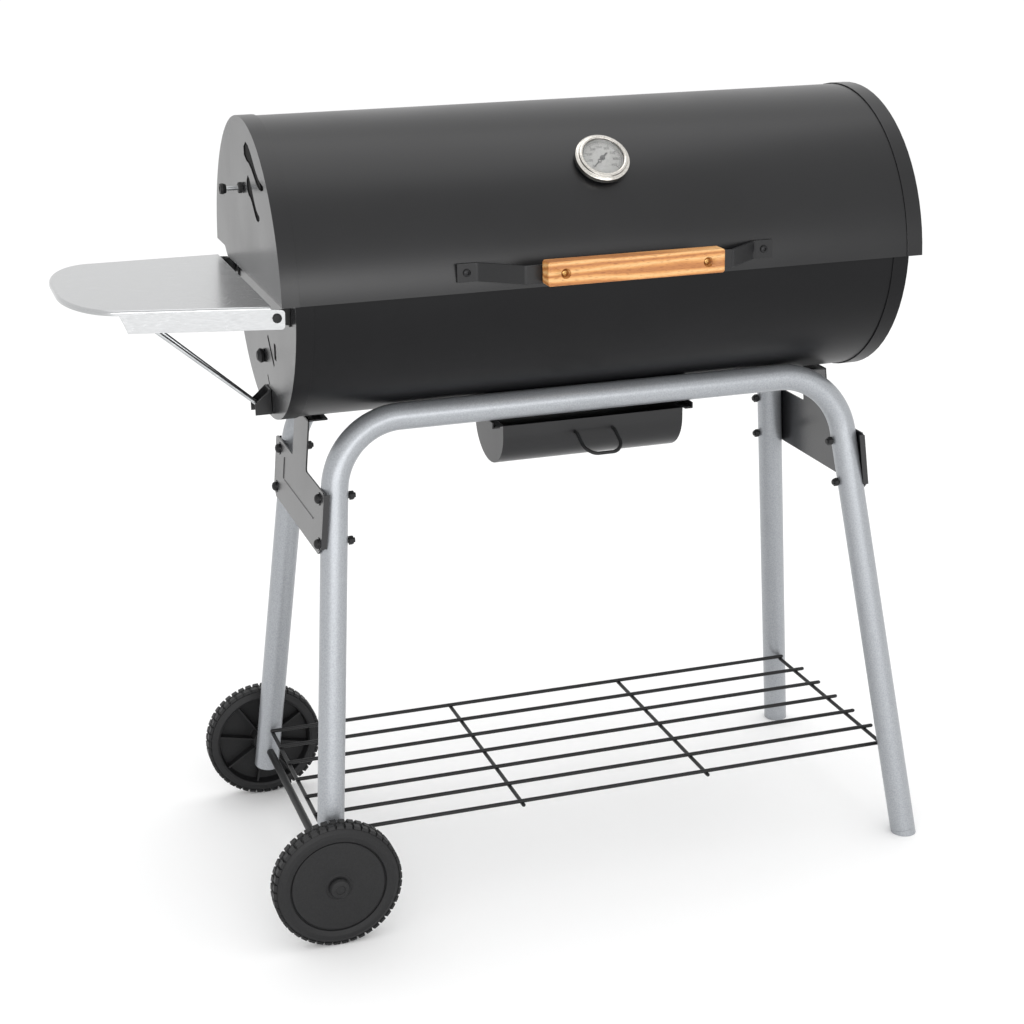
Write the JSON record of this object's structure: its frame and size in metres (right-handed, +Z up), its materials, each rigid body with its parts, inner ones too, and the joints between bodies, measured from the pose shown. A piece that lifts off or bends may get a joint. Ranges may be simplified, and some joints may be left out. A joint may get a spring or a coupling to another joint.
{
  "type": "barrel charcoal grill",
  "caption": "Barrel charcoal grill on a wheeled tube stand, with a hinged lid, lid thermometer, folding side shelf, pull-out ash pan and wire lower shelf.",
  "frame": {"origin": "on the floor, under the middle of the whole grill's footprint, side shelf included", "axes": "+X along the barrel, away from the side shelf; +Y from the cook towards the lid hinges; +Z up"},
  "size_m": [1.0249, 0.4743, 0.9439],
  "materials": {
    "black_paint": "satin heat-resistant black powder coat",
    "silver_paint": "satin silver-grey paint on steel tube",
    "brushed_steel": "pale brushed sheet steel",
    "zinc_wire": "bright drawn wire",
    "zinc_plate": "zinc-plated steel",
    "bright_steel": "polished stainless bezel",
    "oak": "oiled oak",
    "black_plastic": "matt black moulded plastic",
    "black_wire": "black-coated wire and bar",
    "dial": "white printed dial",
    "needle_black": "matt black",
    "clear_glass": "clear"
  },
  "bodies": {
    "stand": {"axle": "black_wire", "charcoal_grate": "black_wire", "firebox_left_end": "black_paint", "firebox_right_end": "black_paint", "firebox_shell": "black_paint", "front_frame_tube": "silver_paint", "front_grate_ledge": "black_paint", "front_hub_cap": "black_plastic", "front_shelf_bolt": "black_plastic", "front_shelf_bracket": "black_paint", "left_cooking_grate": "black_wire", "left_firebox_hinge_leaf": "black_paint", "left_front_bolt": "black_plastic", "left_hinge_pin": "zinc_plate", "left_leg_bracket": "black_paint", "left_pan_hanger": "black_paint", "left_rear_bolt": "black_plastic", "rear_frame_tube": "silver_paint", "rear_grate_ledge": "black_paint", "rear_hub_cap": "black_plastic", "rear_shelf_bolt": "black_plastic", "rear_shelf_bracket": "black_paint", "right_cooking_grate": "black_wire", "right_firebox_hinge_leaf": "black_paint", "right_front_bolt": "black_plastic", "right_front_foot": "silver_paint", "right_hinge_pin": "zinc_plate", "right_leg_bracket": "black_paint", "right_pan_hanger": "black_paint", "right_rear_bolt": "black_plastic", "right_rear_foot": "silver_paint", "strut_hook": "black_paint", "wire_shelf": "black_wire"},
    "lid": {"lid_shell": "black_paint", "lid_left_end": "black_paint", "lid_right_end": "black_paint", "left_lid_hinge_leaf": "black_paint", "right_lid_hinge_leaf": "black_paint", "left_handle_strap": "black_paint", "right_handle_strap": "black_paint", "left_strap_screw": "zinc_plate", "right_strap_screw": "zinc_plate", "left_grip_screw": "zinc_plate", "right_grip_screw": "zinc_plate", "handle_grip": "oak", "thermometer_case": "bright_steel", "thermometer_dial": "dial", "thermometer_glass": "clear_glass", "thermometer_nut": "zinc_plate"},
    "thermometer_needle": {"thermometer_needle": "needle_black"},
    "lid_vent": {"lid_vent_plate": "black_paint", "lid_vent_knob": "black_plastic"},
    "firebox_vent": {"firebox_vent_plate": "zinc_plate", "firebox_vent_knob": "black_plastic"},
    "ash_pan": {"ash_pan": "black_paint", "ash_pan_handle": "black_wire"},
    "front_wheel": {"front_wheel": "black_plastic"},
    "rear_wheel": {"rear_wheel": "black_plastic"},
    "side_shelf": {"side_shelf": "brushed_steel"},
    "side_shelf_strut": {"shelf_strut": "zinc_wire"}
  },
  "joints": [
    {"name": "lid_hinge", "type": "hinge", "parent": "stand", "child": "lid", "pos_m": [0.0996, 0.2085, 0.769], "axis": [-1, 0, 0], "range_deg": [0, 100]},
    {"name": "thermometer_needle_pivot", "type": "hinge", "parent": "lid", "child": "thermometer_needle", "pos_m": [0.0996, -0.12413, 0.88813], "axis": [0, 0.7071, -0.7071], "range_deg": [0, 260]},
    {"name": "lid_vent_pivot", "type": "hinge", "parent": "lid", "child": "lid_vent", "pos_m": [-0.2891, 0.014, 0.8625], "axis": [1, 0, 0], "range_deg": [-20, 20]},
    {"name": "firebox_vent_pivot", "type": "hinge", "parent": "stand", "child": "firebox_vent", "pos_m": [-0.2734, 0.022, 0.661], "axis": [1, 0, 0], "range_deg": [-12, 30]},
    {"name": "ash_pan_slide", "type": "slide", "parent": "stand", "child": "ash_pan", "axis": [0, -1, 0], "range_m": [0, 0.12]},
    {"name": "front_wheel_spin", "type": "hinge", "parent": "stand", "child": "front_wheel", "pos_m": [-0.26595, -0.213, 0.078], "axis": [0, 1, 0], "continuous": true},
    {"name": "rear_wheel_spin", "type": "hinge", "parent": "stand", "child": "rear_wheel", "pos_m": [-0.26595, 0.213, 0.078], "axis": [0, 1, 0], "continuous": true},
    {"name": "side_shelf_fold", "type": "hinge", "parent": "stand", "child": "side_shelf", "pos_m": [-0.2892, 0.011, 0.744], "axis": [0, -1, 0], "range_deg": [0, 90]},
    {"name": "strut_swing", "type": "hinge", "parent": "side_shelf", "child": "side_shelf_strut", "pos_m": [-0.4472, 0.011, 0.7475], "axis": [0, -1, 0], "range_deg": [-136, 0]}
  ],
  "couplings": [
    {"joint": "strut_swing", "follows": "side_shelf_fold", "ratio": -1.5}
  ]
}
